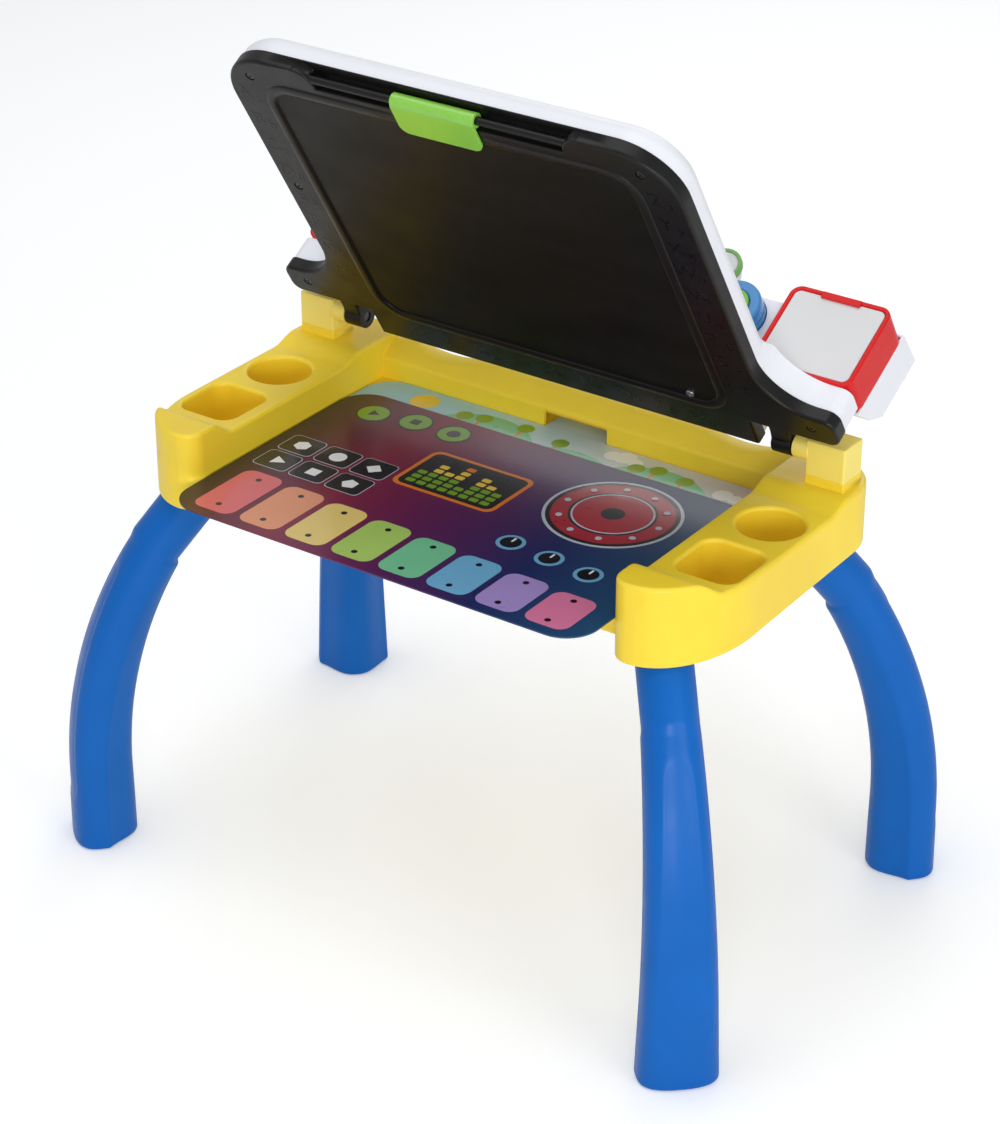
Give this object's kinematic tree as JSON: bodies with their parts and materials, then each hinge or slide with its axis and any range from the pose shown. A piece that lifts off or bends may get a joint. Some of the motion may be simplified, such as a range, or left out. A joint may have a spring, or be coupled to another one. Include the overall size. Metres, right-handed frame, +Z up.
{
  "type": "learning desk",
  "caption": "Small child's desk with arched legs, a tray with pen wells, and a hinged lid that is a chalkboard on one side and an electronic desktop with a console on the other.",
  "frame": {"origin": "on the floor, midway between the four feet", "axes": "+X to the seated child's right, +Y away from the child towards the hinge, +Z up"},
  "size_m": [0.5996, 0.387, 0.6514],
  "materials": {
    "tray_yellow": "satin",
    "post_yellow": "satin",
    "leg_blue": "satin",
    "steel": "bright",
    "card_light": "laminated print",
    "card_dark": "laminated print",
    "frame_black": "semi-gloss",
    "chalk_surface": "matt",
    "screw_black": "black oxide",
    "clip_green": "clear tint",
    "shell_white": "satin",
    "fascia_white": "satin",
    "touch_print": "satin print",
    "sensor_film": "film",
    "console_red": "glossy",
    "pad_pale": "frosted",
    "circuit_green": "solder mask",
    "speaker_dark": "matt",
    "inner_grey": "matt",
    "cell_grey": "wrapped",
    "handset_blue": "glossy",
    "pad_green": "satin",
    "dial_green": "satin"
  },
  "bodies": {
    "table": {"tray_shell": "tray_yellow", "hinge_post_left": "post_yellow", "hinge_post_right": "post_yellow", "hinge_pins": "steel", "post_screws": "steel", "leg_front_left": "leg_blue", "leg_front_right": "leg_blue", "leg_rear_left": "leg_blue", "leg_rear_right": "leg_blue", "leg_screws": "steel"},
    "picture_card": {"picture_card": "card_light"},
    "music_card": {"music_card": "card_dark"},
    "lid": {"board_frame": "frame_black", "chalkboard": "chalk_surface", "board_screw": "steel", "lid_screws": "screw_black", "clip_bar": "frame_black", "clip_spring": "steel", "desktop_shell": "shell_white", "touch_panel": "touch_print", "touch_sensor": "sensor_film", "console_shell": "shell_white", "console_fascia": "fascia_white", "console_screws": "steel", "pad_frame": "console_red", "pad_panel": "pad_pale", "light_board": "circuit_green", "speaker_frame": "console_red", "speaker_grille": "pad_pale", "speaker": "speaker_dark", "main_board": "circuit_green", "key_switches": "speaker_dark", "battery_box": "inner_grey", "battery_cells": "cell_grey", "battery_contacts": "steel", "battery_door": "shell_white", "door_screw": "steel"},
    "clip": {"paper_clip": "clip_green"},
    "handset": {"handset_shell": "handset_blue", "handset_back": "handset_blue", "handset_pads": "pad_green"},
    "dial": {"dial_ring": "dial_green", "dial_face": "pad_pale"},
    "key_left": {"key_left": "console_red"},
    "key_middle": {"key_middle": "tray_yellow"},
    "key_right": {"key_right": "handset_blue"},
    "power_switch": {"power_knob": "pad_green"}
  },
  "joints": [
    {"name": "lid_hinge", "type": "hinge", "parent": "table", "child": "lid", "pos_m": [0, 0.0865, 0.376], "axis": [-1, 0, 0], "range_deg": [-61.5, 27]},
    {"name": "clip_pivot", "type": "hinge", "parent": "lid", "child": "clip", "pos_m": [0, -0.07412, 0.63529], "axis": [-1, 0, 0], "range_deg": [0, 40], "stiffness_Nm_per_rad": 0.25, "springref_deg": -11.46},
    {"name": "handset_lift", "type": "slide", "parent": "lid", "child": "handset", "axis": [0, -0.521, 0.8536], "range_m": [0, 0.09]},
    {"name": "dial_turn", "type": "hinge", "parent": "lid", "child": "dial", "pos_m": [0.088, 0.1645, 0.45876], "axis": [0, -0.521, 0.8536], "range_deg": [-150, 150]},
    {"name": "key_left_press", "type": "slide", "parent": "lid", "child": "key_left", "axis": [0, 0.521, -0.8536], "range_m": [0, 0.002], "stiffness_N_per_m": 500, "springref_m": -0.001},
    {"name": "key_middle_press", "type": "slide", "parent": "lid", "child": "key_middle", "axis": [0, 0.521, -0.8536], "range_m": [0, 0.002], "stiffness_N_per_m": 500, "springref_m": -0.001},
    {"name": "key_right_press", "type": "slide", "parent": "lid", "child": "key_right", "axis": [0, 0.521, -0.8536], "range_m": [0, 0.002], "stiffness_N_per_m": 500, "springref_m": -0.001},
    {"name": "power_slide", "type": "slide", "parent": "lid", "child": "power_switch", "axis": [1, 0, 0], "range_m": [0, 0.008]},
    {"name": "music_card_slide", "type": "slide", "parent": "table", "child": "music_card", "axis": [0, -1, 0], "range_m": [0, 0.2]},
    {"name": "picture_card_slide", "type": "slide", "parent": "table", "child": "picture_card", "axis": [0, -1, 0], "range_m": [0, 0.2]}
  ]
}
